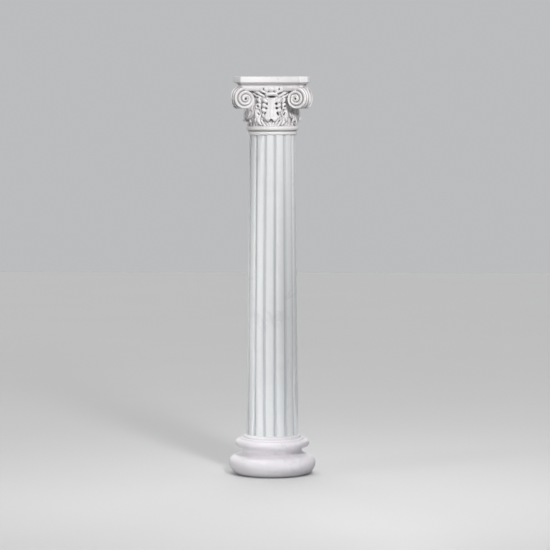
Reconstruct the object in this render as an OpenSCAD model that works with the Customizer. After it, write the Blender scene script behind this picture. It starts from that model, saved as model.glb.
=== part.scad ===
// Composite column in three stacked pieces of white marble: a round base, a tapered fluted shaft and a carved capital.
// Millimetres. The origin is the centre of the underside, +Z is up, and the capital's four faces look along X and Y.
// Mouldings are given by how far they stand out from the shaft that they belong to, so they follow its diameter.

/* [Shaft] */
// Height of the shaft
shaft_h = 2040; // [1200:10:3000]
// Diameter of the shaft at its foot
foot_d = 352; // [280:1:460]
// Diameter of the shaft at its neck
neck_d = 312; // [250:1:400]
// Number of flutes
flute_count = 14; // [8:1:20]
// Turn of the first flute from the front, in degrees
flute_turn = 10; // [0:1:25]
// Width of a flute at the foot
flute_w = 24; // [12:1:36]
// Depth of a flute at the foot
flute_depth = 9; // [4:0.5:12]

/* [Base] */
// How far the lower torus stands out from the shaft's foot
lower_torus_out = 118; // [90:1:150]
// Height of the lower torus below its nose
lower_torus_low_h = 78; // [50:1:95]
// Height of the lower torus above its nose
lower_torus_top_h = 54; // [35:1:65]
// How far the scotia's throat stands out from the shaft's foot
throat_out = 25; // [12:1:35]
// Height of the scotia below its throat
scotia_low_h = 34; // [20:1:50]
// Height of the scotia above its throat
scotia_top_h = 21; // [12:1:30]
// How far the upper torus stands out from the shaft's foot
upper_torus_out = 76; // [60:1:95]
// Height of the upper torus
upper_torus_h = 54; // [36:1:66]
// How far the bead on the upper torus stands out from the shaft's foot
bead_out = 38; // [30:1:46]
// Height of the bead
bead_h = 10; // [6:1:14]
// How far the fillet under the shaft stands out from the shaft's foot
cincture_out = 18; // [12:1:24]
// Height of the fillet under the shaft
cincture_h = 19; // [12:1:26]

/* [Necking] */
// How far the lowest fillet of the capital stands out from the shaft's neck
neck_fillet_out = 10; // [6:1:14]
// Height of the lowest fillet
neck_fillet_h = 22; // [14:1:30]
// How far the groove above it stands out from the shaft's neck
neck_groove_out = 4; // [2:1:6]
// Height of the groove
neck_groove_h = 6; // [4:1:10]
// How far the astragal stands out from the shaft's neck
astragal_out = 20; // [16:1:26]
// Height of the astragal
astragal_h = 32; // [22:1:36]

/* [Bell] */
// Height of the bell, from the astragal to the abacus
bell_h = 260; // [210:1:320]
// How far the bell stands out from the shaft's neck at its foot
bell_foot_out = 1; // [-6:1:6]
// How far the bell stands out from the shaft's neck under the eggs
bell_lip_out = 16; // [10:1:24]
// How far the eggs' ring stands out from the shaft's neck
echinus_out = 28; // [22:1:36]
// Height of the eggs' ring
echinus_h = 50; // [36:1:60]
// Number of eggs that show on each face
egg_count = 5; // [3:2:7]
// Width of an egg
egg_w = 30; // [20:1:36]
// Distance between eggs
egg_pitch = 36; // [24:1:44]

/* [Leaves] */
// Thickness of a leaf
leaf_t = 16; // [10:1:20]
// Number of leaves in the lower row
lower_leaf_count = 8; // [8:4:12]
// Turn of the lower row past the middles of the faces, in degrees
lower_leaf_turn = 1.5; // [0.5:0.5:22.5]
// Width of a leaf of the lower row
lower_leaf_w = 104; // [76:1:116]
// Height of the lower row, from the astragal to the top of its curls
lower_leaf_h = 94; // [80:1:104]
// How far the tips of the lower row stand out from the bell
lower_leaf_out = 36; // [28:1:44]
// How far the tips of the lower row hang down
lower_leaf_hang = 54; // [36:1:64]
// Width of the leaf in the middle of each face
face_leaf_w = 196; // [150:1:210]
// Height of the leaf in the middle of each face
face_leaf_h = 222; // [180:1:250]
// How far its tip stands out from the bell
face_leaf_out = 30; // [24:1:40]
// How far its tip hangs down
face_leaf_hang = 26; // [18:1:40]
// Width of a leaf under a corner scroll
corner_leaf_w = 96; // [70:1:110]
// Height of the leaves under the corner scrolls
corner_leaf_h = 112; // [90:1:120]
// How far their tips stand out from the bell
corner_leaf_out = 54; // [40:1:66]
// How far their tips hang down
corner_leaf_hang = 34; // [24:1:50]

/* [Scrolls] */
// Height of a corner scroll
scroll_h = 142; // [110:1:168]
// How far the scrolls stand out from the corners of the abacus
scroll_out = 40; // [10:1:50]
// Thickness of a scroll at its outer rim
scroll_rim_w = 40; // [28:1:54]
// How much a scroll's faces open towards the bell, in degrees from its diagonal
scroll_flare = 18; // [8:1:24]
// Share of its radius that the spiral keeps over one turn
scroll_keep = 0.6; // [0.5:0.01:0.7]
// Radius of the drilled eye
eye_r = 8; // [4:1:12]

/* [Abacus] */
// How far the abacus stands out from the shaft's neck at its widest
abacus_out = 92; // [70:1:110]
// Width of a cut corner of the abacus
abacus_corner_w = 68; // [40:1:80]
// How deep each side of the abacus is hollowed
abacus_hollow = 46; // [20:1:52]
// Height of the abacus's upright band
abacus_band_h = 39; // [28:1:50]
// Height of the cavetto under the band
abacus_cove_h = 27; // [18:1:34]
// How far the cavetto falls back
abacus_cove_in = 26; // [16:1:30]
// Height of the fillet under the cavetto
abacus_fillet_h = 4; // [3:1:8]

/* [Hidden] */
round_fn = 96;
bell_fn = 32;
leaf_bend = 0.6;
arc_steps = 10;
over = 1;

foot_r = foot_d / 2;
neck_r = neck_d / 2;

// Heights of the base's courses, from the floor up
lower_torus_h = lower_torus_low_h + lower_torus_top_h;
throat_z = lower_torus_h + scotia_low_h;
upper_torus_z = throat_z + scotia_top_h;
bead_z = upper_torus_z + upper_torus_h;
cincture_z = bead_z + bead_h;
base_h = cincture_z + cincture_h;

// Heights of the capital's courses, from its own underside up
astragal_z = neck_fillet_h + neck_groove_h;
bell_z = astragal_z + astragal_h;
abacus_z = bell_z + bell_h;
echinus_z = abacus_z - echinus_h;
abacus_h = abacus_fillet_h + abacus_cove_h + abacus_band_h;
capital_z = base_h + shaft_h;

// Points on an ellipse about c, with half-axes r, from angle a0 to a1
function arc(c, r, a0, a1, n = arc_steps) =
    [for (i = [0:n]) let (a = a0 + (a1 - a0) * i / n) [c.x + r.x * cos(a), c.y + r.y * sin(a)]];

// A number that goes smoothly from 0 to 1 as x goes from a to b
function smooth(x, a, b) = let (t = max(0, min(1, (x - a) / (b - a)))) t * t * (3 - 2 * t);

// Lofts a closed skin through rings of equal length, with a flat fan at each end
module skin(rings) {
    n = len(rings[0]);
    last = len(rings) - 1;
    points = [for (ring = rings) for (p = ring) p];
    sides = [
        for (i = [0:last - 1])
            for (j = [0:n - 1])
                let (k = (j + 1) % n, a = i * n + j, b = i * n + k, c = a + n, d = b + n)
                    for (f = [[a, c, b], [b, c, d]]) f
    ];
    ends = concat([[for (j = [0:n - 1]) j]], [[for (j = [n - 1:-1:0]) last * n + j]]);
    polyhedron(points = points, faces = concat(sides, ends));
}

// ---- Base ----

function base_profile() =
    let (
        lower_r = foot_r + lower_torus_out,
        upper_r = foot_r + upper_torus_out,
        throat_r = foot_r + throat_out,
        bead_r = foot_r + bead_out,
        cincture_r = foot_r + cincture_out,
        upper_half = upper_torus_h / 2,
        lower_core_r = lower_r - lower_torus_top_h,
        upper_core_r = upper_r - upper_half,
        cove = cincture_out / 2
    )
    concat(
        [[0, 0]],
        arc([lower_r - lower_torus_low_h, lower_torus_low_h], lower_torus_low_h * [1, 1], -90, 0),
        arc([lower_core_r, lower_torus_low_h], lower_torus_top_h * [1, 1], 9, 90),
        arc([lower_core_r, throat_z], [lower_core_r - throat_r, scotia_low_h], 261, 180),
        arc([upper_core_r, throat_z], [upper_core_r - throat_r, scotia_top_h], 171, 99),
        arc([upper_core_r, upper_torus_z + upper_half], upper_half * [1, 1], -90, 90, 2 * arc_steps),
        arc([bead_r - bead_h, bead_z], bead_h * [1, 1], 0, 90),
        [[cincture_r, cincture_z], [cincture_r, base_h - cove / 2]],
        [[cincture_r - cove, base_h], [0, base_h]]
    );

module base() {
    color("gainsboro") rotate_extrude($fn = round_fn) polygon(base_profile());
}

// ---- Shaft ----

// A flute is a cone laid along the shaft's slope, so that it narrows as the shaft does.
module flute() {
    flute_r = (pow(flute_w / 2, 2) + pow(flute_depth, 2)) / (2 * flute_depth);
    centre_r = foot_r + flute_r - flute_depth;
    taper = neck_r / foot_r;
    run = centre_r * (1 - taper);
    slope = atan(run / shaft_h);
    reach = norm([run, shaft_h]);
    spare = 20 / reach;
    translate([centre_r, 0, 0]) rotate([0, -slope, 0]) translate([0, 0, -spare * reach])
        cylinder(
            h = reach * (1 + 2 * spare),
            r1 = flute_r * (1 + spare * (1 - taper)),
            r2 = flute_r * (taper - spare * (1 - taper)),
            $fn = round_fn
        );
}

module shaft() {
    color("lightsteelblue") translate([0, 0, base_h]) difference() {
        cylinder(h = shaft_h, r1 = foot_r, r2 = neck_r, $fn = round_fn);
        for (i = [0:flute_count - 1]) rotate([0, 0, flute_turn + i * 360 / flute_count - 90]) flute();
    }
}

// ---- Capital ----

bell_foot_r = neck_r + bell_foot_out;
bell_lip_r = neck_r + bell_lip_out;

// Radius of the bell at a height in the capital: a slow flare that quickens towards the lip
function bell_r(z) =
    let (t = max(0, min(1, (z - bell_z) / (echinus_z - bell_z))))
        bell_foot_r + (bell_lip_r - bell_foot_r) * t * t;

function bell_profile() =
    let (
        fillet_r = neck_r + neck_fillet_out,
        groove_r = neck_r + neck_groove_out,
        half = astragal_h / 2,
        astragal_r = neck_r + astragal_out - half,
        echinus_half = echinus_h / 2
    )
    concat(
        [[0, 0], [neck_r, 0], [fillet_r, 3], [fillet_r, neck_fillet_h]],
        [[groove_r, neck_fillet_h], [groove_r, astragal_z]],
        arc([astragal_r, astragal_z + half], half * [1, 1], -90, 90, 5),
        [for (i = [0:3]) let (z = bell_z + (echinus_z - bell_z) * i / 3) [bell_r(z), z]],
        arc([bell_lip_r, echinus_z + echinus_half], [echinus_out - bell_lip_out, echinus_half], -60, 60, 3),
        [[bell_lip_r, abacus_z + over], [0, abacus_z + over]]
    );

module egg(r) {
    hull() for (end = [-1, 1])
        translate([r, 0, end * echinus_h * 0.16]) sphere(d = end > 0 ? egg_w : egg_w * 0.7, $fn = 6);
}

module echinus() {
    egg_turn = egg_pitch / (neck_r + echinus_out) * 180 / PI;
    for (face = [0:3]) for (i = [-(egg_count - 1) / 2:(egg_count - 1) / 2])
        rotate([0, 0, face * 90 + i * egg_turn])
            translate([0, 0, echinus_z + echinus_h / 2]) egg(neck_r + echinus_out - egg_w / 3);
}

// The line that a leaf follows, as [radius, height, way that its front faces] for t from 0 at the root to 1 at
// the tip: it climbs the bell, turns over at its crest, and hangs down and outwards to its tip.
function leaf_spine(t, h, out, hang) =
    let (
        turn = 140,
        turned = 0.55,
        crest_z = bell_z + h,
        curl = [out * 0.3, hang * 0.36],
        stand = leaf_t * 0.4,
        centre = [bell_r(crest_z - curl.y) + stand + curl.x, crest_z - curl.y],
        over_r = centre.x + curl.x * cos(180 - turn),
        over_z = centre.y + curl.y * sin(180 - turn),
        tip_z = crest_z - hang,
        tip_r = bell_r(tip_z) + out,
        u = (t - leaf_bend) / (1 - leaf_bend),
        a = 180 - turn * u / turned,
        v = (u - turned) / (1 - turned),
        z = bell_z - 2 + (centre.y - bell_z + 2) * t / leaf_bend
    )
    u < 0 ? [bell_r(z) + stand, z, 0]
        : u < turned ? [centre.x + curl.x * cos(a), centre.y + curl.y * sin(a), a - 180]
        : [over_r + (tip_r - over_r) * v, over_z + (tip_z - over_z) * v, -turn - 20 * v];

// Half-width at t of a leaf of width w and height h, with a lobe for each 60 of its height
function leaf_half_w(t, w, h) =
    let (
        lobe_count = max(2, round(h / 60)),
        body = 0.7 + 0.3 * sin(180 * min(1, t * 1.25)),
        lobes = 1 - 0.22 * pow(abs(cos(t * lobe_count * 180)), 3)
    )
    w / 2 * body * lobes * (1 - 0.56 * smooth(t, 0.55, 1));

// One ring of points around a leaf: its ribbed front from one edge to the other, and its back
function leaf_ring(t, w, h, out, hang) =
    let (
        spine = leaf_spine(t, h, out, hang),
        half_w = leaf_half_w(t, w, h),
        across = [-1, -0.5, 0, 0.5, 1],
        front = [0.1, 0.62, 0.34, 0.62, 0.1],
        wrap_r = bell_r(spine.y),
        sunk = ((spine.x - wrap_r) / leaf_t + 0.1) * (1 - smooth(t, leaf_bend - 0.2, leaf_bend)),
        at = function(u, rise) let (
            a = u * half_w / wrap_r * 180 / PI,
            r = spine.x + rise * leaf_t * cos(spine.z),
            z = spine.y + rise * leaf_t * sin(spine.z)
        ) [r * cos(a), r * sin(a), z]
    )
    concat(
        [for (i = [0:4]) at(across[i], front[i])],
        [for (side = [1, -1]) at(side * 0.8, -0.35 - sunk)]
    );

module leaf(w, h, out, hang) {
    steps = h > 150 ? 12 : 9;
    skin([for (i = [0:steps]) leaf_ring(i / steps, w, h, out, hang)]);
}

module leaves() {
    for (i = [0:lower_leaf_count - 1])
        rotate([0, 0, lower_leaf_turn + i * 360 / lower_leaf_count])
            leaf(lower_leaf_w, lower_leaf_h, lower_leaf_out, lower_leaf_hang);
    for (i = [0:3]) rotate([0, 0, i * 90]) {
        leaf(face_leaf_w, face_leaf_h, face_leaf_out, face_leaf_hang);
        rotate([0, 0, 45]) leaf(corner_leaf_w, corner_leaf_h, corner_leaf_out, corner_leaf_hang);
    }
}

// Plan of the abacus, drawn in by d all round: four hollow sides that meet cut corners
abacus_wide = neck_r + abacus_out;
abacus_narrow = abacus_wide - abacus_corner_w / sqrt(2);
abacus_mid = abacus_wide - abacus_hollow;
hollow_r = (pow(abacus_narrow, 2) + pow(abacus_hollow, 2)) / (2 * abacus_hollow);
hollow_c = abacus_mid + hollow_r;
corner_reach = (abacus_wide + abacus_narrow) / sqrt(2);

function abacus_plan(d, n = 8) =
    let (
        r = hollow_r + d,
        a = 45 + asin(((corner_reach - d) * sqrt(2) - hollow_c) / r / sqrt(2))
    )
    [
        for (side = [0:3]) for (i = [-n:2:n])
            let (b = a * i / n, x = hollow_c - r * cos(b), y = r * sin(b), s = side * 90)
                [x * cos(s) - y * sin(s), x * sin(s) + y * cos(s)]
    ];

module abacus() {
    cove = arc([0, 0], [abacus_cove_in, abacus_cove_h], 0, 90, 5);
    band_z = abacus_fillet_h + abacus_cove_h;
    levels = concat(
        [[abacus_cove_in, 0]],
        [for (p = cove) [p.x, abacus_fillet_h + p.y]],
        [[0, abacus_h]]
    );
    translate([0, 0, abacus_z])
        skin([for (l = levels) [for (p = abacus_plan(l[0])) [p.x, p.y, l[1]]]]);
}

// The spiral that a scroll's outer edge follows, turning outwards from the top, with a turned in degrees
scroll_r = scroll_h / (1 + sqrt(scroll_keep));
scroll_reach = corner_reach + scroll_out;
scroll_eye = [scroll_reach - spiral_r(90), abacus_z - over - scroll_r];
function spiral_r(a) = scroll_r * pow(scroll_keep, a / 360);
function scroll_half_w(x) = scroll_rim_w / 2 + tan(scroll_flare) * max(0, scroll_reach - x);

// One ring around the rolled band of a scroll, whose faces swell between its edges
function scroll_ring(a) =
    let (
        outer = spiral_r(a),
        inner = a > 540 ? outer * 0.4 : spiral_r(a + 360) * 0.96,
        at = function(r, side) let (x = scroll_eye.x + r * sin(a), z = scroll_eye.y + r * cos(a))
            [x, side * scroll_half_w(x), z],
        mid = outer * 0.7 + inner * 0.3
    )
    [at(outer, -0.82), at(mid, -1.02), at(inner, -0.8), at(inner, 0.8), at(mid, 1.02), at(outer, 0.82)];

// The scroll's arm, from inside the bell to the top of the spiral, under the abacus
function scroll_arm(x) =
    let (
        outer = scroll_eye.y + spiral_r(0),
        inner = scroll_eye.y + spiral_r(360) * 0.96,
        mid = outer * 0.7 + inner * 0.3,
        w = scroll_half_w(x)
    )
    [
        [x, -0.82 * w, outer], [x, -1.02 * w, mid], [x, -0.8 * w, inner],
        [x, 0.8 * w, inner], [x, 1.02 * w, mid], [x, 0.82 * w, outer]
    ];

module scroll() {
    step = 30;
    turns_end = 720;
    arm_start = neck_r * 0.7;
    difference() {
        union() {
            skin(concat(
                [for (i = [0:2]) scroll_arm(arm_start + (scroll_eye.x - arm_start) * i / 3)],
                [for (a = [0:step:turns_end]) scroll_ring(a)]
            ));
            eye_boss(spiral_r(900), 1.1);
            web();
        }
        for (side = [-1, 1])
            translate([scroll_eye.x, side * scroll_half_w(scroll_eye.x) * 1.5, scroll_eye.y])
                rotate([90, 0, 0]) cylinder(r = eye_r, h = scroll_rim_w, center = true, $fn = 12);
    }
}

// The round boss at the heart of the spiral
module eye_boss(r, proud) {
    w = scroll_half_w(scroll_eye.x) * proud;
    translate([scroll_eye.x, 0, scroll_eye.y]) rotate([90, 0, 0])
        cylinder(r = r, h = 2 * w, center = true, $fn = 12);
}

// The core that closes the turns of the spiral and ties the scroll to the bell
module web() {
    w = scroll_rim_w * 0.7;
    hull() {
        translate([scroll_eye.x, 0, scroll_eye.y]) rotate([90, 0, 0])
            cylinder(r = spiral_r(335), h = w, center = true, $fn = 16);
        translate([bell_lip_r - 20, 0, scroll_eye.y + spiral_r(360)])
            cube([10, w, 10], center = true);
    }
}

module capital() {
    color("whitesmoke") translate([0, 0, capital_z]) union() {
        rotate_extrude($fn = bell_fn) polygon(bell_profile());
        echinus();
        leaves();
        for (i = [0:3]) rotate([0, 0, 45 + i * 90]) scroll();
        abacus();
    }
}

base();
shaft();
capital();
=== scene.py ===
import math

import bpy
import numpy as np
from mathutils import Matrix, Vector


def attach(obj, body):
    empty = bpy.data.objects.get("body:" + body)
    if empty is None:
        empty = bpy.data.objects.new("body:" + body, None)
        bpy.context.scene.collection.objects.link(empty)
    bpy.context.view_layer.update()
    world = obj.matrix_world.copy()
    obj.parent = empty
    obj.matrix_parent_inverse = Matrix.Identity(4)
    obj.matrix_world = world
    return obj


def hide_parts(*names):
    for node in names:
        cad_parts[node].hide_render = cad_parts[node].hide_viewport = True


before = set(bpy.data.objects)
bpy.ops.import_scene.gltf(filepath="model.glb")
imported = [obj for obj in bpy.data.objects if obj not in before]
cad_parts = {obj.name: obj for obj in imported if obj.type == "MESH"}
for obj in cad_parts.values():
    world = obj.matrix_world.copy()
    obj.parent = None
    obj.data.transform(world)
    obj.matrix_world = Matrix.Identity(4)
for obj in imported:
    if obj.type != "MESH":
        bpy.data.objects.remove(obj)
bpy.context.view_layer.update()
mm = 0.001
scene = bpy.context.scene
pieces = {"base_marble": [], "shaft_marble": [], "capital_marble": []}

# the camera stands well back, level with the capital and a little to the right of the front face
view = {"turn": 3.0, "pan": -0.061, "away": 17.15, "height": 2.55, "tilt": -3.98, "lens": 165.5, "sensor": 36}
cameraData = bpy.data.cameras.new("camera")
cameraData.lens = view["lens"]
cameraData.sensor_width = view["sensor"]
camera = bpy.data.objects.new("camera", cameraData)
turn = math.radians(view["turn"])
camera.location = (view["away"] * math.sin(turn), -view["away"] * math.cos(turn), view["height"])
camera.rotation_euler = (math.radians(90 + view["tilt"]), 0, turn + math.radians(view["pan"]))
scene.collection.objects.link(camera)
scene.camera = camera
print("camera set")


# rises softly from 0 at low to 1 at high
def smooth(x, low, high):
    t = np.clip((x - low) / (high - low), 0, 1)
    return t * t * (3 - 2 * t)


# points of an arc about a centre, between two angles in degrees
def arc(centre, radii, start, end, count):
    turns = np.radians(np.linspace(start, end, count + 1))
    return [(centre[0] + radii[0] * math.cos(a), centre[1] + radii[1] * math.sin(a)) for a in turns]


# a smooth mesh of points in millimetres, which stands for a node of the frame
def makePiece(name, points, faceGroups, node, slot, shadeMask):
    mesh = bpy.data.meshes.new(name)
    points = np.asarray(points, dtype=np.float64).reshape(-1, 3)
    groups = [np.asarray(group, dtype=np.int32) for group in faceGroups]
    sides = np.concatenate([np.full(len(group), group.shape[1], dtype=np.int32) for group in groups])
    corners = np.concatenate([group.ravel() for group in groups])
    mesh.vertices.add(len(points))
    mesh.vertices.foreach_set("co", (points * mm).ravel())
    mesh.loops.add(len(corners))
    mesh.loops.foreach_set("vertex_index", corners)
    mesh.polygons.add(len(sides))
    mesh.polygons.foreach_set("loop_start", np.cumsum(sides, dtype=np.int32) - sides)
    mesh.polygons.foreach_set("loop_total", sides)
    mesh.polygons.foreach_set("use_smooth", np.ones(len(sides), dtype=bool))
    mesh.update(calc_edges=True)
    mesh.validate()
    # the mask of painted shade in the piece's hollows, which the marble reads
    shade = mesh.attributes.new("shadeMask", "FLOAT", "POINT")
    shade.data.foreach_set("value", np.asarray(shadeMask, dtype=np.float32).ravel())
    piece = bpy.data.objects.new(name, mesh)
    scene.collection.objects.link(piece)
    pieces[slot].append(piece)
    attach(piece, "root")
    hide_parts(node)


# four-sided faces between the neighbours of a grid of points
def gridFaces(rows, columns, wrapRows=False, wrapColumns=False):
    i = np.arange(rows if wrapRows else rows - 1)[:, None]
    j = np.arange(columns if wrapColumns else columns - 1)[None, :]
    a = i * columns + j
    b = i * columns + (j + 1) % columns
    c = ((i + 1) % rows) * columns + (j + 1) % columns
    d = ((i + 1) % rows) * columns + j
    return np.stack([a, b, c, d], axis=-1).reshape(-1, 4)


# points, faces and painted-shade mask of a closed piece that a stack of rings makes, from its foot to its top
def ringStack(rings, shade):
    rings = np.asarray(rings, dtype=float)
    rows, count = rings.shape[:2]
    points = np.concatenate([rings.reshape(-1, 3), [rings[0].mean(0), rings[-1].mean(0)]])
    here = np.arange(count)
    after = (here + 1) % count
    lowest, highest = np.full(count, rows * count), np.full(count, rows * count + 1)
    foot = np.stack([lowest, after, here], axis=1)
    top = np.stack([highest, here + (rows - 1) * count, after + (rows - 1) * count], axis=1)
    shade = np.append(np.broadcast_to(shade, (rows, count)), [0, 0])
    return points, [gridFaces(rows, count, wrapColumns=True), foot, top], shade


# faces that close the end of a tube whose loop runs across and back
def endFaces(start, count, flip):
    i = np.arange((count - 2) // 2)
    groups = [np.stack([start + i, start + i + 1, start + count - 2 - i, start + count - 1 - i], axis=1)]
    if count % 2:
        middle = start + count // 2
        groups.append(np.array([[middle - 1, middle, middle + 1]]))
    return [group[:, ::-1] if flip else group for group in groups]


# all faces of such a tube, with its two ends closed
def tubeFaces(rows, around):
    walls = [gridFaces(rows, around, wrapColumns=True)]
    return walls + endFaces(0, around, True) + endFaces((rows - 1) * around, around, False)


# rings of a profile of (radius, height) turned about the column's axis
def lathe(profile, count, lift=0):
    profile = np.asarray(profile, dtype=float)[:, None]
    turns = np.linspace(0, 2 * math.pi, count, endpoint=False)
    return np.stack([profile[..., 0] * np.cos(turns), profile[..., 0] * np.sin(turns),
                     np.repeat(profile[..., 1] + lift, count, axis=1)], axis=-1)


# rounds each corner of a profile over a short reach, and leaves its fine curves alone
def softened(profile, reach, sharpest=25):
    result = [profile[0]]
    for before, here, after in zip(profile, profile[1:], profile[2:]):
        p, q, r = Vector(before), Vector(here), Vector(after)
        into, away = q - p, r - q
        if into.length < 1e-6 or away.length < 1e-6:
            continue
        if into.angle(away) < math.radians(sharpest):
            result.append(tuple(q))
            continue
        cut = min(reach, into.length * 0.45, away.length * 0.45)
        start, end = q - into.normalized() * cut, q + away.normalized() * cut
        for t in (0, 0.25, 0.5, 0.75, 1):
            result.append(tuple(start * (1 - t) ** 2 + q * 2 * t * (1 - t) + end * t * t))
    result.append(profile[-1])
    return result


# how far each point of a profile lies inside the line between its neighbours, from 0 to 1
def hollowness(profile, reach=9, gain=1.7):
    profile = np.asarray(profile, dtype=float)
    along = np.concatenate([[0], np.cumsum(np.hypot(*np.diff(profile, axis=0).T))])
    sampled = []
    for shift in (-reach, reach):
        at = np.clip(along + shift, 0, along[-1])
        sampled.append(np.stack([np.interp(at, along, profile[:, k]) for k in (0, 1)], axis=1))
    span = sampled[1] - sampled[0]
    middle = (sampled[0] + sampled[1]) / 2 - profile
    side = (span[:, 1] * middle[:, 0] - span[:, 0] * middle[:, 1]) / np.maximum(np.hypot(*span.T), 1e-6)
    return np.clip(side / reach * gain, 0, 1)


# The shaft's sizes come first, because the base and the capital are measured out from its foot and its neck.
shaft = {
    "foot": 176, "neck": 156, "high": 2040,
    "flutes": 14, "turn": 10, "wide": 24, "deep": 9, "bowl": 0.62,  # a lower bowl is fuller
    "round": 5, "crown": 2.2, "lip": 1.8,  # the bands between the flutes
}
foot, neck = shaft["foot"], shaft["neck"]
innerRadius = 40  # a turned profile starts and ends here, and a flat fan closes the rest

# The base from the ground up. Each "Out" is how far a moulding stands out from the shaft's foot.
base = {
    "lowerOut": 118, "lowerLow": 78, "lowerTop": 54,  # the lower torus below and above its widest line
    "throatOut": 25, "throatLow": 34, "throatTop": 21,  # the scotia below and above its narrowest line
    "upperOut": 76, "upperHigh": 54,  # the upper torus
    "beadOut": 38, "beadHigh": 10, "cinctureOut": 18, "cinctureHigh": 19,
    "round": 1.6, "sides": 224,
}
lowerReach = foot + base["lowerOut"]
lowerCore = lowerReach - base["lowerTop"]
throat = foot + base["throatOut"]
upperHalf = base["upperHigh"] / 2
upperCore = foot + base["upperOut"] - upperHalf
bead = foot + base["beadOut"]
cincture = foot + base["cinctureOut"]
cove = base["cinctureOut"] / 2
throatHeight = base["lowerLow"] + base["lowerTop"] + base["throatLow"]
upperFoot = throatHeight + base["throatTop"]
beadHeight = upperFoot + base["upperHigh"]
cinctureHeight = beadHeight + base["beadHigh"]
baseTop = cinctureHeight + base["cinctureHigh"]
# some arcs stop a few degrees short, so that the mouldings meet at a small edge
profile = [(innerRadius, 0)]
profile += arc((lowerReach - base["lowerLow"], base["lowerLow"]), (base["lowerLow"],) * 2, -90, 0, 26)
profile += arc((lowerCore, base["lowerLow"]), (base["lowerTop"],) * 2, 6, 90, 22)
profile += arc((lowerCore, throatHeight), (lowerCore - throat, base["throatLow"]), 262, 180, 20)
profile += arc((upperCore, throatHeight), (upperCore - throat, base["throatTop"]), 172, 98, 16)
profile += arc((upperCore, upperFoot + upperHalf), (upperHalf,) * 2, -90, 90, 30)
profile += arc((bead - base["beadHigh"], beadHeight), (base["beadHigh"],) * 2, 0, 90, 8)
profile += [(cincture, cinctureHeight), (cincture, baseTop - cove / 2)]
profile += [(cincture - cove, baseTop), (innerRadius, baseTop)]
profile = softened(profile, base["round"])
# painted shade: the hollows of the profile, such as the scotia and the cove, are darkened in the marble's
# colour
points, faces, shadeMask = ringStack(lathe(profile, base["sides"]), hollowness(profile)[:, None])
makePiece("baseRound", points, faces, "base", "base_marble", shadeMask)
print("base made")

# The relief is drawn from the middle of a flute to the middle of a band, and then mirrored and repeated.
fluteHalf = shaft["wide"] / 2
step = math.radians(360 / shaft["flutes"])
pitchHalf = foot * step / 2
across = np.concatenate([
    np.linspace(0, fluteHalf, 10),
    fluteHalf + np.linspace(0.6, shaft["round"] + 4, 8),
    np.linspace(fluteHalf + 14, pitchHalf, 8),
])
flutePlace = np.clip(across / fluteHalf, 0, 1)
flute = -shaft["deep"] * np.cos(flutePlace * math.pi / 2) ** shaft["bowl"] - shaft["crown"] - shaft["lip"]
bandPlace = np.clip((across - fluteHalf) / (pitchHalf - fluteHalf), 0, 1)
edge = np.clip((across - fluteHalf) / shaft["round"], 0, 1)
band = -shaft["crown"] * (1 - bandPlace) ** 2 - shaft["lip"] * (1 - edge) ** 2
sunk = np.where(across < fluteHalf, flute, band)
offsets = np.concatenate([-across[:0:-1], across[:-1]])
relief = np.concatenate([sunk[:0:-1], sunk[:-1]])
# painted shade: the flutes are darkened in the marble's colour, more the deeper they are
hollow = np.clip(-relief / (shaft["deep"] + shaft["crown"] + shaft["lip"]), 0, 1) ** 1.4
firstTurn = math.radians(shaft["turn"] - 90)
turns = np.concatenate([firstTurn + i * step + offsets / foot for i in range(shaft["flutes"])])
high = shaft["high"]
heights = np.concatenate([[0, 1.5, 4], np.linspace(40, high - 40, 40), [high - 3, high]])
taper = 1 - (1 - neck / foot) * heights / high
radius = (foot + np.tile(relief, shaft["flutes"])[None, :]) * taper[:, None]
upright = np.repeat(baseTop + heights[:, None], len(turns), 1)
rings = np.stack([radius * np.cos(turns), radius * np.sin(turns), upright], -1)
points, faces, shadeMask = ringStack(rings, np.tile(hollow, shaft["flutes"]))
makePiece("shaftFluted", points, faces, "shaft", "shaft_marble", shadeMask)
print("shaft made")

# The capital's necking and bell, from its underside up. Each "Out" is measured from the shaft's neck.
capital = {
    "filletOut": 10, "filletHigh": 22, "grooveOut": 4, "grooveHigh": 6, "astragalOut": 20, "astragalHigh": 32,
    "bellHigh": 260, "footOut": 1, "lipOut": 16, "echinusHigh": 50,
    "bellIn": 30,  # the turned bell stays behind the carving, so that it doesn't show in the drilled holes
    "round": 1.4, "sides": 192,
}
capitalFoot = baseTop + shaft["high"]
astragalHeight = capital["filletHigh"] + capital["grooveHigh"]
bellFoot = astragalHeight + capital["astragalHigh"]
abacusFoot = bellFoot + capital["bellHigh"]
echinusFoot = abacusFoot - capital["echinusHigh"]


# radius of the bell at a height above the capital's underside
def bellRadius(height):
    t = np.clip((height - bellFoot) / (echinusFoot - bellFoot), 0, 1)
    return neck + capital["footOut"] + (capital["lipOut"] - capital["footOut"]) * t * t


fillet = neck + capital["filletOut"]
groove = neck + capital["grooveOut"]
astragalHalf = capital["astragalHigh"] / 2
astragalCore = neck + capital["astragalOut"] - astragalHalf
profile = [(innerRadius, 0), (neck, 0), (fillet, 3), (fillet, capital["filletHigh"])]
profile += [(groove, capital["filletHigh"]), (groove, astragalHeight)]
profile += arc((astragalCore, astragalHeight + astragalHalf), (astragalHalf, astragalHalf), -90, 90, 20)
bellHeights = np.linspace(bellFoot + 0.5, abacusFoot, 12)
profile += [(float(bellRadius(height)) - capital["bellIn"], height) for height in bellHeights]
profile += [(innerRadius, abacusFoot)]
profile = softened(profile, capital["round"])
rings = lathe(profile, capital["sides"], capitalFoot)
# painted shade in the hollows of the necking's profile
points, faces, shadeMask = ringStack(rings, hollowness(profile, 7)[:, None])
makePiece("bellNecking", points, faces, "capital", "capital_marble", shadeMask)

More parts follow.
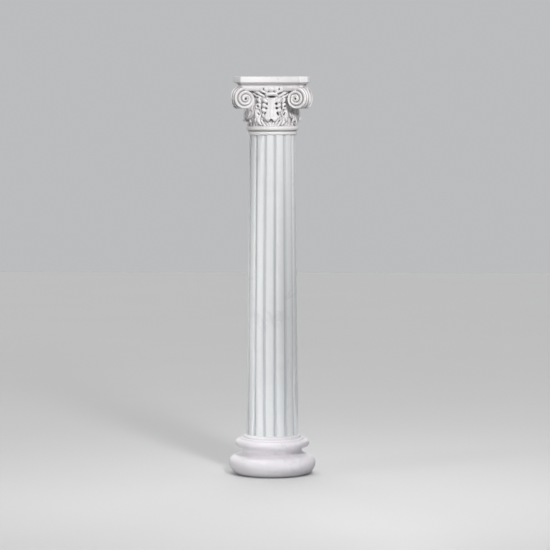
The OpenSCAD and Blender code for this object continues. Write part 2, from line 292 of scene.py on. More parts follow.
# The abacus: "out" is measured from the neck, "corner" is the width of a cut corner, and "hollow" is how far
# the middle of a side is drawn in. The levels give the outline's inset at each height above the bell.
abacus = {
    "out": 92, "corner": 68, "hollow": 46, "band": 39, "cove": 27, "coveIn": 26, "fillet": 4,
    "sweep": 0.72, "lipIn": 9, "lipHigh": 5, "topIn": 8, "round": 2.4,
}
wide = neck + abacus["out"]
narrow = wide - abacus["corner"] / math.sqrt(2)
hollowRadius = (narrow ** 2 + abacus["hollow"] ** 2) / (2 * abacus["hollow"])
hollowCentre = wide - abacus["hollow"] + hollowRadius
cornerReach = (wide + narrow) / math.sqrt(2)


# the abacus's outline drawn in by inset: four hollow sides that meet cut corners
def abacusPlan(inset, count=28):
    r = hollowRadius + inset
    past = ((cornerReach - inset) * math.sqrt(2) - hollowCentre) / r / math.sqrt(2)
    limit = math.radians(45) + math.asin(past)
    endX, endY = hollowCentre - r * math.cos(limit), r * math.sin(limit)
    side = []
    for i in range(-count, count + 1):
        b = limit * i / count
        side.append((hollowCentre - r * math.cos(b), r * math.sin(b)))
    for t in (0.06, 0.3, 0.5, 0.7, 0.94):
        side.append((endX + (endY - endX) * t, endY + (endX - endY) * t))
    ring = []
    for quarter in range(4):
        c, s = math.cos(quarter * math.pi / 2), math.sin(quarter * math.pi / 2)
        ring += [(x * c - y * s, x * s + y * c) for x, y in side]
    return ring


coveTop = abacus["fillet"] + abacus["cove"]
bandTop = coveTop + abacus["band"]
levels = [(abacus["coveIn"] + 1, 0), (abacus["coveIn"], 0), (abacus["coveIn"], abacus["fillet"])]
for a in np.radians(np.linspace(8, 90, 12)):
    inset = abacus["coveIn"] - abacus["coveIn"] * abacus["sweep"] * (1 - math.cos(a))
    levels.append((inset, abacus["fillet"] + (abacus["cove"] - abacus["lipHigh"]) * math.sin(a)))
levels += [(abacus["lipIn"] - 0.5, coveTop - abacus["lipHigh"]), (abacus["lipIn"], coveTop)]
levels += [(0, coveTop), (0, bandTop), (abacus["topIn"], bandTop)]
levels = softened(levels, abacus["round"])
lift = capitalFoot + abacusFoot
rings = [[(x, y, lift + height) for x, y in abacusPlan(inset)] for inset, height in levels]
# flat rings within the outline, one in the underside and two in the top
flats = [[(x * share, y * share, ring[0][2]) for x, y, _ in ring]
         for share, ring in ((0.5, rings[0]), (0.96, rings[-1]), (0.5, rings[-1]))]
rings = flats[:1] + rings + flats[1:]
outline = np.array([(-inset, height) for inset, height in levels])
# painted shade under the band and in the cove, strengthened to read as a dark line
shade = np.concatenate([[0], np.clip(1.5 * hollowness(outline, 10), 0, 1), [0, 0]])
points, faces, shadeMask = ringStack(rings, shade[:, None])
makePiece("abacus", points, faces, "capital", "capital_marble", shadeMask)
print("bell and abacus made")

# A face's relief is drawn on a flat sheet: a is the distance from the face's middle along the bell, z the
# height above the astragal, and the value is how far the stone stands out from the bell, in millimetres.
# A rib is a path of places (a, z), with its half width and its height at each of them.
# A hole is its middle, its two half widths, its lean in degrees and its depth.
carve = {
    "round": 185, "columns": 216, "rows": 222, "core": 122, "highest": 44, "lowest": -26,
    "waver": 0.35, "drift": 1.3, "shift": 4,
    "stems": [
        ([(6, -4), (12, 12), (20, 30)], [6, 7, 6], [13, 14, 14]),
        ([(24, -2), (36, 22), (48, 48)], [7, 8, 7], [15, 18, 20]),
        ([(46, -4), (60, 14), (72, 34)], [7, 8, 6], [15, 20, 22]),
        ([(70, 40), (74, 78), (78, 118)], [5, 5, 5], [16, 18, 18]),
        ([(110, -6), (116, 12), (122, 26)], [6, 8, 6], [14, 19, 21]),
    ],
    "sideLobes": [
        ([(94, 34), (104, 56), (109, 84), (106, 104)], [15, 24, 27, 16], [27, 32, 33, 28]),
        ([(98, 34), (86, 22), (74, 8)], [13, 10, 4], [29, 31, 29]),
        ([(114, 52), (120, 40), (126, 28)], [12, 9, 4], [30, 32, 30]),
        ([(82, 160), (90, 174), (84, 188)], [10, 12, 7], [26, 28, 24]),
        ([(116, 104), (123, 120), (119, 138)], [9, 10, 7], [25, 27, 25]),
    ],
    "fullLobes": [(168, 50, 13), (137, 55, 15), (102, 58, 16), (66, 55, 15)],  # height, reach and half width
    "palmettes": [
        ([(126, 218), (104, 203), (76, 192)], [7, 10, 6], [26, 25, 14]),
        ([(122, 236), (90, 220), (54, 199)], [8, 12, 7], [31, 29, 18]),
        ([(94, 252), (66, 240), (28, 219)], [7, 11, 6], [30, 29, 22]),
    ],
    "rolledLobe": {"middle": (94, 132), "ring": 13, "tube": 8, "tall": 32, "sunk": 22},
    "eyes": [((33, 149), (9.5, 10), 0), ((37, 119), (10, 9), 0), ((46, 82), (8.5, 16), 35)],
    "eyeDeep": 26,  # to the right of a face's middle, and half as deep to its left
    "holes": [
        ((94, 80), (5, 13), -24, 24), ((122, 86), (5, 13), 24, 24), ((94, 132), (8, 8), 0, 14),
        ((70, 152), (4.5, 13), -20, 12), ((74, 118), (4.5, 15), 0, 12), ((74, 70), (4.5, 14), 10, 12),
        ((98, 212), (14, 4.5), 30, 10), ((64, 217), (16, 4.5), 32, 14), ((60, 34), (4, 12), -38, 8),
        ((0, 194.5), (31, 6.8), 0, 44),  # the slot under the arch
    ],
}
# half widths and heights of the tongue and of the stalk under a scroll, at heights above the astragal
tongue = {
    "wide": ([30, 44, 56, 75, 98, 122, 150, 172, 184, 190], [30, 40, 44, 44, 40, 37, 34, 33, 26, 6]),
    "tall": ([30, 41, 48, 56, 66, 88, 108, 140, 184], [38, 42, 43, 41, 38, 34, 26, 22, 20]),
    "teeth": ([0, 6, 12, 20, 26, 32, 38, 44], [54, 50, 40, 31, 29, 36, 46, 60]),  # the tip's lowest line
}
stalk = {
    "wide": ([0, 60, 110, 150, 200, 240], [18, 20, 18, 15, 20, 26]),
    "tall": ([0, 60, 110, 150, 190, 240], [14, 20, 26, 24, 22, 26]),
}
eggs = {"pitch": 34, "height": 248, "tall": 32}
faceHalf = carve["round"] * math.pi / 4


# the higher of two reliefs, with the seam between them filleted
def blend(first, second, reach=2.5):
    h = np.clip(0.5 + 0.5 * (first - second) / reach, 0, 1)
    return second * (1 - h) + first * h + reach * h * (1 - h)


# a rib, nearly flat along its back and steep at its sides
def rib(a, z, path, widths, heights):
    best = np.full(a.shape, -60.0)
    for i in range(len(path) - 1):
        p, q = np.array(path[i], float), np.array(path[i + 1], float)
        run = q - p
        t = np.clip(((a - p[0]) * run[0] + (z - p[1]) * run[1]) / (run @ run), 0, 1)
        near = np.hypot(a - p[0] - t * run[0], z - p[1] - t * run[1])
        wide = widths[i] + (widths[i + 1] - widths[i]) * t
        tall = heights[i] + (heights[i + 1] - heights[i]) * t
        best = np.maximum(best, tall - wide * 0.9 * (near / wide) ** 2.4 - np.maximum(near - wide, 0) * 5)
    return best


# a rolled lobe: a round ridge about a hollow
def curl(a, z, middle, ring, tube, tall, sunk):
    near = np.hypot(a - middle[0], z - middle[1])
    ridge = tall - tube * 0.9 * (np.abs(near - ring) / tube) ** 2.2 - np.maximum(near - ring - tube, 0) * 4
    return np.where(near < ring, np.maximum(ridge, tall - sunk), ridge)


# how much of a drilled hole's depth a place has, from 0 to 1
def pit(a, z, middle, sizes, lean):
    c, s = math.cos(math.radians(lean)), math.sin(math.radians(lean))
    x, y = a - middle[0], z - middle[1]
    near = np.hypot((x * c + y * s) / sizes[0], (y * c - x * s) / sizes[1])
    return 1 - smooth(near, 0.55, 1.15)


# the leaf's own tip, turned over and hanging in two teeth, with two veins and a low ridge along its middle
def tongueRelief(a, z):
    side, tall = np.interp(z, *tongue["wide"]), np.interp(z, *tongue["tall"])
    lowest = np.interp(a, *tongue["teeth"])
    relief = tall - 7 * (a / side) ** 2 - np.maximum(a - side, 0) * 2.4 - np.maximum(lowest - z, 0) * 4.5
    relief -= np.maximum(z - 180 + 0.006 * a * a, 0) * 1.6
    vein = 2.4 * np.exp(-((a - 11 - 0.03 * (z - 60)) / 3.2) ** 2) + 1.6 * np.exp(-((a - 24) / 3.0) ** 2)
    ridge = 1.5 * np.exp(-(a / 5) ** 2)
    return relief - vein * smooth(z, 40, 70) * (1 - smooth(z, 150, 180)) + ridge


# a ring of eggs close under the abacus, with a drilled gap between two eggs away from the face's middle
def withEggs(relief, a, z):
    pitch = eggs["pitch"]
    near = np.abs((a + pitch / 2) % pitch - pitch / 2)
    band = 29 - 9 * (np.abs(z - eggs["height"] - 1) / 13) ** 3
    egg = eggs["tall"] - 14 * ((near / (pitch / 2)) ** 2 + ((z - eggs["height"]) / 19) ** 2)
    relief = blend(relief, np.maximum(band - 3 * smooth(near, 12, 15), egg), 1.5)
    gap = np.hypot(near - pitch / 2, (z - eggs["height"] + 2) * 0.7)
    return relief - 16 * (1 - smooth(gap, 2.5, 6)) * smooth(a, 26, 56)


# the whole relief of a face, with right 0 to the left of its middle and 1 to the right
def faceRelief(a, z, right):
    relief = np.maximum(8 + 3 * smooth(z, 0, 60) - np.maximum(z - 188, 0) * 2, 3.0)
    # stems rise from the foot, and the side leaf has a rolled lobe over it and two teeth below it
    for path, widths, heights in carve["stems"]:
        relief = blend(relief, rib(a, z, path, widths, heights))
    for path, widths, heights in carve["sideLobes"]:
        relief = blend(relief, rib(a, z, path, widths, heights), 3.5)
    relief = blend(relief, curl(a, z, **carve["rolledLobe"]))
    # full lobes swell from both sides of the tongue
    for low, out, wide in carve["fullLobes"]:
        path = [(30, low - 12), (out - 8, low - 2), (out, low + 4)]
        relief = blend(relief, rib(a, z, path, [12, wide, wide - 2], [24, 30, 30]), 1.5)
    relief = blend(relief, tongueRelief(a, z))
    # the arch over the leaf's crest, and half palmettes that reach to it from the scrolls
    bow = 215 - 0.005 * a * a
    relief = blend(relief, 27 - 10 * (np.abs(z - bow) / 11) ** 2.4 - np.maximum(a - 34, 0) * 1.6)
    for path, widths, heights in carve["palmettes"]:
        relief = blend(relief, rib(a, z, path, widths, heights), 1.2)
    relief = withEggs(relief, a, z)
    for middle, sizes, lean in carve["eyes"]:
        relief = relief - carve["eyeDeep"] * (0.5 + 0.5 * right) * pit(a, z, middle, sizes, lean)
    for middle, sizes, lean, deep in carve["holes"]:
        relief = relief - deep * pit(a, z, middle, sizes, lean)
    # the stalk under each scroll, at the corner between two faces
    corner = faceHalf - a
    wide, tall = np.interp(z, *stalk["wide"]), np.interp(z, *stalk["tall"])
    relief = blend(relief, tall - 8 * (corner / wide) ** 2 - np.maximum(corner - wide, 0) * 3.5)
    return np.maximum(relief, carve["lowest"])


# each value averaged with its four neighbours
def blurred(values, times):
    for _ in range(times):
        padded = np.pad(values, 1, mode="edge")
        beside = padded[:-2, 1:-1] + padded[2:, 1:-1] + padded[1:-1, :-2] + padded[1:-1, 2:]
        values = (beside + 2 * values) / 6
    return values


# the front, the top, the back and the underside make one closed tube, and a fan closes each of its two ends
def carvedFaces(rows, columns):
    groups = [gridFaces(rows + 2, columns, wrapRows=True)]
    for column in (0, columns - 1):
        top, low = rows * columns + column, (rows + 1) * columns + column
        edge = np.append(np.arange(rows) * columns + column, top)
        fan = np.stack([edge[:-1], edge[1:], np.full(rows, low)], axis=1)
        groups.append(fan if column == 0 else fan[:, ::-1])
    return groups


rows, columns = carve["rows"], carve["columns"]
places = np.linspace(-faceHalf, faceHalf, columns)
along, upward = np.meshgrid(places, np.linspace(-1.5, capital["bellHigh"] + 0.5, rows))
for face in range(4):
    # a slow drift and a slight waver, different on each face, as hand carving has
    waver = np.sin(along * 0.11 + upward * 0.07 + face) + np.sin(along * 0.05 - upward * 0.13 + 2 * face)
    drift = carve["drift"] * np.sin(upward * 0.031 + face * 1.7) - carve["shift"]
    drift = drift * np.cos(along * math.pi / faceHalf / 2)
    relief = faceRelief(np.abs(along + drift), upward, smooth(along, -8, 8)) + carve["waver"] * waver
    relief = blurred(np.minimum(relief, carve["highest"]), 4)
    # painted shade: the wide and fine hollows of the carving are darkened in the marble's colour
    wideHollow, fineHollow = blurred(relief, 60) - relief, blurred(relief, 10) - relief
    shadeMask = np.clip(wideHollow / 11.5 + np.clip(fineHollow, -0.5, 4) / 5, 0, 1)
    radius = bellRadius(upward + bellFoot) + relief
    hang = 0.22 * np.clip(relief - 24, 0, 30) * (1 - smooth(upward, 150, 200))
    theta = along / carve["round"] + math.pi / 2 * face - math.pi / 2
    outer = np.stack([radius * np.cos(theta), radius * np.sin(theta), upward - hang], -1)
    inner = np.stack([carve["core"] * np.cos(theta), carve["core"] * np.sin(theta), upward], -1)
    loop = np.concatenate([outer, inner[-1:], inner[:1]])
    loop[..., 2] += capitalFoot + bellFoot
    shade = np.concatenate([shadeMask, np.zeros((2, columns))])
    makePiece("carvedFace." + str(face), loop, carvedFaces(rows, columns), "capital", "capital_marble", shade)
print("faces carved")

# A corner scroll: "high" is its height, "out" how far it passes the abacus's corner, "rim" and "flare" give
# its width, and "pitch" is the width of one turn of its band. The arm joins it to the bell.
scroll = {
    "high": 142, "out": 40, "rim": 40, "flare": 18, "pitch": 24, "lip": 3,
    "fillet": 3.2, "channel": 6.5, "bulge": 9, "eyeDeep": 17, "eye": 14,
    "armStart": 118, "armHalf": 96,
    "bandCount": 30, "heartCount": 46, "rimCount": 19, "turnCount": 150, "armCount": 22,
}
pitch = scroll["pitch"]
scrollRadius = scroll["high"] / 2 + pitch / 4
scrollReach = cornerReach + scroll["out"] - scroll["lip"]
eyeAlong = scrollReach - scrollRadius + pitch / 4
eyeHeight = abacusFoot - 1 - scrollRadius


# half the scroll's width at a distance from the column's axis
def scrollHalf(along):
    return scroll["rim"] / 2 + math.tan(math.radians(scroll["flare"])) * np.maximum(0, scrollReach - along)


# relief across one turn of the band, from its outer edge at 0 to its inner edge at 1
def bandRelief(place):
    place = np.asarray(place, dtype=float)
    fillet = scroll["fillet"] * np.sqrt(np.clip(1 - ((place - 0.2) / 0.2) ** 2, 0, 1))
    channel = -scroll["channel"] * np.sin(np.clip((place - 0.38) / 0.62, 0, 1) * math.pi / 2) ** 1.5
    return np.where(place < 0.4, fillet, channel)


# the scroll's face swells towards its eye
def swelling(near):
    return scroll["bulge"] * np.clip(1 - near / scrollRadius, 0, 1)


# relief on a scroll's face at a distance from its eye and a turn from the top in degrees
def scrollFace(near, angle):
    turns = (scrollRadius - near) / pitch - angle / 360
    relief = bandRelief(np.clip(turns, 0, None) % 1)
    relief = np.where(near < scroll["eye"], 1.5, relief) + swelling(near)
    return relief - scroll["eyeDeep"] * (1 - smooth(near, 5.5, 11))


# relief across the outer edge, with side from -1 to 1: a lip by each face, and a ridge between two hollows
def rimRelief(side):
    side = np.abs(side)
    lips = 2.2 * np.exp(-((side - 0.86) / 0.1) ** 2)
    hollows = 4.5 * np.exp(-((side - 0.5) / 0.2) ** 2)
    return lips - hollows + 1.2 * np.exp(-(side / 0.22) ** 2)


# one loop around a scroll: its near face, its outer edge and its far face
def closedLoop(alongs, wides, heights, rim):
    face = np.stack([alongs, wides, heights], axis=1)
    return np.concatenate([face, np.array(rim), face[::-1] * (1, -1, 1)])


def loopShade(face, rim):
    return np.concatenate([face, rim, face[::-1]])


# a block of points turned about the column's axis and set on the capital's foot
def turnedBlock(block, degrees):
    a = math.radians(degrees)
    x = block[..., 0] * math.cos(a) - block[..., 1] * math.sin(a)
    y = block[..., 0] * math.sin(a) + block[..., 1] * math.cos(a)
    return np.stack([x, y, block[..., 2] + capitalFoot], axis=-1)


rimSides = np.linspace(1, -1, scroll["rimCount"] + 2)[1:-1]
bandPlaces = np.linspace(0.994, 0.006, scroll["bandCount"])
heartPlaces = np.linspace(scrollRadius / pitch, 1, scroll["heartCount"], endpoint=False)
allPlaces = np.concatenate([heartPlaces, bandPlaces])
disc, discShade = [], []
for angle in np.linspace(0, 360, scroll["turnCount"] + 1):
    outer = scrollRadius - pitch * angle / 360
    radii = np.maximum(outer - allPlaces * pitch, 0.04 * np.arange(len(allPlaces)))
    relief = scrollFace(radii, angle)
    s, c = math.sin(math.radians(angle)), math.cos(math.radians(angle))
    alongs, heights = eyeAlong + radii * s, eyeHeight + radii * c
    edgeHalf = float(scrollHalf(eyeAlong + outer * s))
    rim = []
    for side in rimSides:
        reach = outer + float(rimRelief(side)) * min(1, 0.4 + angle / 30)
        high = min(eyeHeight + reach * c, abacusFoot - 0.5)
        rim.append((min(eyeAlong + reach * s, scrollReach + scroll["lip"]), edgeHalf * side, high))
    disc.append(closedLoop(alongs, scrollHalf(alongs) + relief, heights, rim))
    # painted shade in the scroll's channel, its eye and the hollows of its rim
    discShade.append(loopShade(np.clip((swelling(radii) - relief) / 8, 0, 1),
                               np.clip(-rimRelief(rimSides) / 6, 0, 1)))

# the arm carries the same band straight from the bell to the scroll
arm, armShade = [], []
band = scrollRadius - bandPlaces * pitch
for along in np.linspace(scroll["armStart"], eyeAlong, scroll["armCount"]):
    fullness = 0.35 + 0.65 * smooth(along, scroll["armStart"], eyeAlong)
    relief = (bandRelief(bandPlaces) + swelling(band)) * fullness
    halfWide = min(float(scrollHalf(along)), scroll["armHalf"])
    rimTop = eyeHeight + scrollRadius
    rim = [(along, halfWide * side, rimTop + 0.4 * float(rimRelief(side))) for side in rimSides]
    arm.append(closedLoop(np.full(len(band), along), halfWide + relief, eyeHeight + band, rim))
    # painted shade in the arm's channel
    armShade.append(loopShade(np.clip(-relief / 8, 0, 1), np.zeros(len(rimSides))))

for corner in range(4):
    for label, block, shade in (("scroll.", disc, discShade), ("scrollArm.", arm, armShade)):
        block = np.array(block)
        points = turnedBlock(block, 45 + 90 * corner)
        faces = tubeFaces(*block.shape[:2])
        makePiece(label + str(corner), points, faces, "capital", "capital_marble", np.array(shade))
print("scrolls made")

# A leaf climbs the bell as far as its bend, turns over at its crest and hangs outwards to its tip.
leafCourse = {"bend": 0.45, "turned": 0.4, "over": 130, "curlOut": 0.2, "curlHigh": 0.22}
leafCounts = {"length": 64, "across": 33, "tip": 10}
cornerLeaf = {
    "turn": 45, "wide": 68, "tall": 106, "out": 56, "hang": 44, "thick": 13, "stand": 14,
    "lobes": 3, "ribs": 2, "point": 0.3, "tooth": 5, "under": 20, "roll": 6,
}
sideLeaf = {
    "turn": 32.5, "wide": 50, "tall": 66, "out": 42, "hang": 26, "thick": 10, "stand": 12,
    "lobes": 2, "ribs": 2, "point": 0.12, "tooth": 4.5, "under": 14, "roll": 5,
}


# radius, height and facing in degrees of a leaf's middle line, with t from 0 at its foot to 1 at its tip
def leafLine(t, size):
    bend, turned, over = leafCourse["bend"], leafCourse["turned"], leafCourse["over"]
    curlOut, curlHigh = size["out"] * leafCourse["curlOut"], size["hang"] * leafCourse["curlHigh"]
    stand = size["thick"] * 0.5
    crest = bellFoot + size["tall"]
    centreHeight = crest - curlHigh
    if t < bend:
        height = bellFoot - 2 + (centreHeight - bellFoot + 2) * t / bend
        return float(bellRadius(height)) + stand + size["stand"] * smooth(t, 0, bend), height, 0.0
    centreRadius = float(bellRadius(centreHeight)) + stand + curlOut + size["stand"]
    u = (t - bend) / (1 - bend)
    if u < turned:
        a = 180 - over * u / turned
        radius = centreRadius + curlOut * math.cos(math.radians(a))
        return radius, centreHeight + curlHigh * math.sin(math.radians(a)), a - 180
    overRadius = centreRadius + curlOut * math.cos(math.radians(180 - over))
    overHeight = centreHeight + curlHigh * math.sin(math.radians(180 - over))
    tipHeight = crest - size["hang"]
    tipRadius = float(bellRadius(tipHeight)) + size["out"]
    v = (u - turned) / (1 - turned)
    radius = overRadius + (tipRadius - overRadius) * v ** 1.5
    return radius, overHeight + (tipHeight - overHeight) * v, -over + 30 * v


def leafPiece(name, turn, size):
    across, bend, behind = leafCounts["across"], leafCourse["bend"], 4
    sides = np.linspace(-1, 1, across)
    ribs = 0.32 * np.cos(sides * math.pi * size["ribs"]) * (1 - 0.5 * np.abs(sides))
    relief = 0.5 + ribs - 0.3 * sides ** 2
    rise = relief * size["thick"] * np.clip(1 - np.abs(sides) ** 5, 0, 1)
    front, back, shades = [], [], []
    for t in np.arange(leafCounts["length"] + 1) / leafCounts["length"]:
        radius, height, facing = leafLine(t, size)
        lobes = 1 - 0.2 * abs(math.cos(t * size["lobes"] * math.pi)) ** 3
        halfWide = size["wide"] / 2 * (0.72 + 0.28 * math.sin(math.pi * min(1, t * 1.3))) * lobes
        halfWide *= 1 - size["point"] * smooth(t, 0.55, 1.0)
        droop = size["tooth"] * np.cos(sides * math.pi * 2.5) * smooth(t, 0.86, 1)
        c, s = math.cos(math.radians(facing)), math.sin(math.radians(facing))
        theta = sides * halfWide / max(radius, 150)
        outward = radius - 8 * np.abs(sides) ** 3 * smooth(t, bend, 1)
        r, h = outward + rise * c, height + rise * s - droop
        front.append(np.stack([r * np.cos(theta), r * np.sin(theta), h], axis=-1))
        lift = size["under"] * smooth(t, 0.5, 1)
        r, h = np.full(across, float(bellRadius(height)) - behind), height + lift * (1 - sides ** 2)
        back.append(np.stack([r * np.cos(theta), r * np.sin(theta), h], axis=-1))
        # painted shade between the ribs and near the leaf's foot, and a painted shadow on its back
        deep = np.clip(0.55 - relief, 0, 1) * 1.5 + 0.3 * (1 - smooth(t, 0, 0.3))
        shades.append(np.concatenate([deep, np.full(across, 0.7)]))
    # the tip rolls under and goes back to the bell along a soft curve
    tip = front[-1]
    tipRadii, tipHeights, theta = np.hypot(tip[:, 0], tip[:, 1]), tip[:, 2], np.arctan2(tip[:, 1], tip[:, 0])
    root = float(bellRadius(tipHeights.mean())) - behind
    for w in np.linspace(0.1, 1, leafCounts["tip"]):
        parts = ((1 - w) ** 3, 3 * w * (1 - w) ** 2, 3 * w * w * (1 - w), w ** 3)
        r = parts[0] * tipRadii + parts[1] * (tipRadii - 1) + parts[2] * (tipRadii - 15) + parts[3] * root
        h = tipHeights - parts[1] * size["roll"] - parts[2] * size["roll"] * 1.1 + parts[3] * size["under"]
        narrow = theta * (1 - 0.3 * w)
        front.append(np.stack([r * np.cos(narrow), r * np.sin(narrow), h], axis=-1))
        back.append(back[-1])
        # painted shadow under the rolled tip, darker towards the bell, and on the back behind it
        shades.append(np.concatenate([np.full(across, 0.25 + 0.7 * w), np.full(across, 0.9)]))
    loops = np.concatenate([np.array(front), np.array(back)[:, ::-1]], axis=1)
    faces = tubeFaces(*loops.shape[:2])
    points = turnedBlock(loops, turn)
    makePiece(name, points, faces, "capital", "capital_marble", np.clip(shades, 0, 1))


for face in range(4):
    leafPiece("cornerLeaf." + str(face), cornerLeaf["turn"] + 90 * face, cornerLeaf)
    for side in (-1, 1):
        number = face * 2 + (side + 1) // 2
        leafPiece("sideLeaf." + str(number), 90 * face + sideLeaf["turn"] * side, sideLeaf)
print("leaves made")


# a shader socket that takes part in sums and products
class Value:
    def __init__(self, nodes, socket):
        self.nodes = nodes
        self.socket = socket

    def maths(self, operation, *others):
        node = self.nodes.make("ShaderNodeMath", {"operation": operation}, dict(enumerate((self,) + others)))
        return self.nodes.out(node)

    def __add__(self, other):
        return self.maths("ADD", other)

    def __sub__(self, other):
        return self.maths("SUBTRACT", other)

    def __mul__(self, other):
        return self.maths("MULTIPLY", other)

    def __rsub__(self, other):
        return (self * -1) + other

    __radd__ = __add__
    __rmul__ = __mul__

    def ramp(self, low, high):
        settings = {"interpolation_type": "SMOOTHSTEP"}
        return self.nodes.out(self.nodes.make("ShaderNodeMapRange", settings, {0: self, 1: low, 2: high}))


# the nodes of a material or of the world
class Nodes:
    def __init__(self, owner):
        owner.use_nodes = True
        self.tree = owner.node_tree

    def named(self, name):
        return self.tree.nodes[name]

    def out(self, node, key=0):
        return Value(self, node.outputs[key])

    def put(self, node, key, value):
        if isinstance(value, Value):
            self.tree.links.new(value.socket, node.inputs[key])
        else:
            node.inputs[key].default_value = value

    def make(self, kind, settings=None, values=None):
        node = self.tree.nodes.new(kind)
        for key, value in (settings or {}).items():
            setattr(node, key, value)
        for key, value in (values or {}).items():
            self.put(node, key, value)
        return node

    def mix(self, factor, first, second):
        node = self.make("ShaderNodeMix", {"data_type": "RGBA"}, {0: factor, 6: first, 7: second})
        return self.out(node, 2)

    def noise(self, place, scale, detail=4.0, rough=0.55, warp=0.0):
        values = {"Vector": place, "Scale": scale, "Detail": detail, "Roughness": rough, "Distortion": warp}
        return self.out(self.make("ShaderNodeTexNoise", None, values))


# white marble: soft clouds, a few faint broken veins, a fine crystal grain, and painted shade darkening its
# hollows
def marble(name, look):
    material = bpy.data.materials.new(name)
    nodes = Nodes(material)
    shader = nodes.named("Principled BSDF")
    place = nodes.out(nodes.make("ShaderNodeTexCoord"), "Object")
    hollow = nodes.out(nodes.make("ShaderNodeAttribute", {"attribute_name": "shadeMask"}), "Fac")
    clouds = nodes.noise(place, 3.2, 6.0, 0.6, 0.6).ramp(0.32, 0.72)
    mottle = nodes.noise(place, 26.0, 3.0).ramp(0.3, 0.75)
    bands = nodes.noise(place, 1.7, 7.0, 0.62, 1.4) - 0.5
    veins = 1 - bands.maths("ABSOLUTE").ramp(0.0, 0.022)
    broken = nodes.noise(place, 4.5, 2.0).ramp(0.48, 0.66)
    grain = nodes.noise(place, 620.0, 2.0, 0.5)
    tint = nodes.mix(clouds * 0.55 + mottle * 0.2, look["light"] + (1,), look["cloud"] + (1,))
    tint = nodes.mix(veins * broken * look["veins"], tint, look["vein"] + (1,))
    # painted shade: the marble is darkened towards a grey wherever the shade mask marks a hollow
    tint = nodes.mix((hollow * look["depth"]).maths("MINIMUM", 0.92), tint, look["paintedShade"] + (1,))
    nodes.put(shader, "Base Color", tint)
    rough = nodes.noise(place, 40.0, 3.0) * 0.12 + mottle * 0.05 + hollow * 0.2 + look["rough"]
    nodes.put(shader, "Roughness", rough)
    tooling = nodes.noise(place, 90.0, 3.0) * 0.6 + grain * 0.4 + nodes.noise(place, 14.0, 2.0) * 1.2
    bump = nodes.make("ShaderNodeBump", None, {"Strength": 0.28, "Distance": 0.0012, "Height": tooling})
    nodes.put(shader, "Normal", nodes.out(bump))
    nodes.put(shader, "IOR", 1.5)
    return material


# each marble's two whites, the painted shade in its hollows and how dark it gets, its veins and its roughness
looks = {
    "base_marble": {
        "light": (0.83, 0.81, 0.84), "cloud": (0.79, 0.765, 0.80), "paintedShade": (0.5, 0.49, 0.52),
        "depth": 0.35, "vein": (0.60, 0.585, 0.63), "veins": 0.45, "rough": 0.36,
    },
    "shaft_marble": {
        "light": (0.785, 0.805, 0.81), "cloud": (0.73, 0.755, 0.765), "paintedShade": (0.40, 0.43, 0.45),
        "depth": 0.62, "vein": (0.58, 0.6, 0.63), "veins": 0.45, "rough": 0.38,
    },
    "capital_marble": {
        "light": (0.84, 0.83, 0.83), "cloud": (0.78, 0.765, 0.77), "paintedShade": (0.12, 0.1, 0.105),
        "depth": 1.0, "vein": (0.62, 0.6, 0.62), "veins": 0.35, "rough": 0.46,
    },
}
for slot, look in looks.items():
    material = marble(slot + "Look", look)
    for piece in pieces[slot]:
        piece.data.materials.append(material)
    # the frame's own node wears the same marble
    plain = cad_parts[slot.replace("_marble", "")].data.materials
    for i in range(len(plain)):
        plain[i] = material
    if not plain:
        plain.append(material)
print("materials made")

# The camera sees a paler floor than the other rays do, so that little light comes back up from it.
ground = {
    "size": 40, "rough": 0.75, "unseen": (0.26, 0.26, 0.265, 1),
    "patches": ((0.71, 0.71, 0.715, 1), (0.74, 0.74, 0.745, 1)), "scale": 0.6,
}
bpy.ops.mesh.primitive_plane_add(size=ground["size"], location=(0, 0, 0))
floor = bpy.context.object
floor.name = "floor"
floorLook = bpy.data.materials.new("floorLook")
nodes = Nodes(floorLook)
shader = nodes.named("Principled BSDF")
place = nodes.out(nodes.make("ShaderNodeTexCoord"), "Object")
tint = nodes.mix(nodes.noise(place, ground["scale"], 3.0), *ground["patches"])
seen = nodes.out(nodes.make("ShaderNodeLightPath"), "Is Camera Ray")
nodes.put(shader, "Base Color", nodes.mix(seen, ground["unseen"], tint))
nodes.put(shader, "Roughness", ground["rough"])
floor.data.materials.append(floorLook)

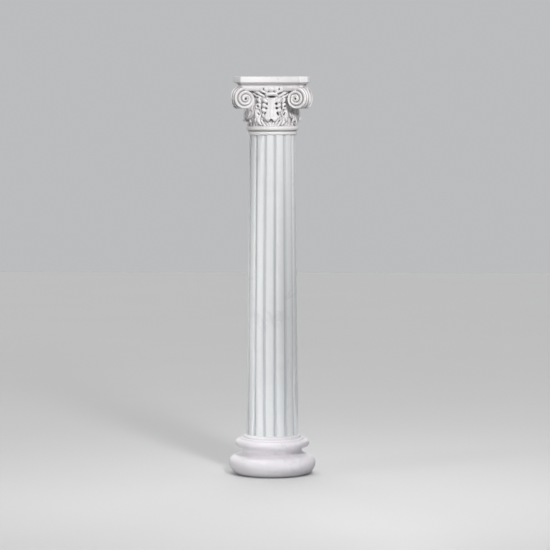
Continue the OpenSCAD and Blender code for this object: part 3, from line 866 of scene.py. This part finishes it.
# Soft lamps are discs, and a small spread narrows a lamp's beam. Suns light everything from one direction.
softLamps = {
    "key": {"place": (-6.2, -4.0, 1.15), "aim": (0, 0, 1.1), "size": 1.6, "power": 10.5,
            "colour": (1, 0.99, 0.98), "spread": 34},
    "top": {"place": (1.3, -3.1, 3.7), "aim": (0, 0, 2.5), "size": 0.6, "power": 99,
            "colour": (1, 0.99, 0.99), "spread": 180},
    "fill": {"place": (1.0, -7.4, 1.2), "aim": (0, 0, 0.6), "size": 2.0, "power": 27,
             "colour": (0.98, 0.98, 1), "spread": 180},
    "low": {"place": (1.9, -5.6, 0.3), "aim": (0, 0, 0.12), "size": 0.5, "power": 1.0,
            "colour": (0.98, 0.98, 1), "spread": 18},
}
suns = {
    "sky": {"from": (0, 0, 1), "power": 1.2}, "rear": {"from": (-0.2, 1, 0.45), "power": 1.15},
    "side": {"from": (1, 0.6, 0.4), "power": 0.4}, "farSide": {"from": (-1, 0.7, 0.4), "power": 0.3},
}
sunAngle = 70


def hangLamp(name, data, power, facing):
    data.energy = power
    lamp = bpy.data.objects.new(name, data)
    lamp.rotation_euler = facing.to_track_quat("-Z", "Y").to_euler()
    scene.collection.objects.link(lamp)
    return lamp


for name, lamp in softLamps.items():
    data = bpy.data.lights.new(name, "AREA")
    data.shape = "DISK"
    data.size = lamp["size"]
    data.color = lamp["colour"]
    data.spread = math.radians(lamp["spread"])
    hung = hangLamp(name, data, lamp["power"], Vector(lamp["aim"]) - Vector(lamp["place"]))
    hung.location = lamp["place"]
for name, sun in suns.items():
    data = bpy.data.lights.new(name, "SUN")
    data.angle = math.radians(sunAngle)
    hangLamp(name, data, sun["power"], -Vector(sun["from"]))
print("floor and lamps made")

# the world gives a little light, and the camera sees a plain pale backdrop in its place
air = {"glow": (0.8, 0.81, 0.83, 1), "strength": 0.04, "backdrop": (0.5, 0.505, 0.515, 1)}
world = bpy.data.worlds.new("studio")
scene.world = world
nodes = Nodes(world)
glow = nodes.named("Background")
nodes.put(glow, "Color", air["glow"])
nodes.put(glow, "Strength", air["strength"])
backdrop = nodes.make("ShaderNodeBackground", None, {"Color": air["backdrop"]})
seen = nodes.out(nodes.make("ShaderNodeLightPath"), "Is Camera Ray")
chosen = nodes.make("ShaderNodeMixShader", None, {0: seen, 1: nodes.out(glow), 2: nodes.out(backdrop)})
nodes.put(nodes.named("World Output"), "Surface", nodes.out(chosen))
scene.view_settings.view_transform = "Standard"
print("world made")
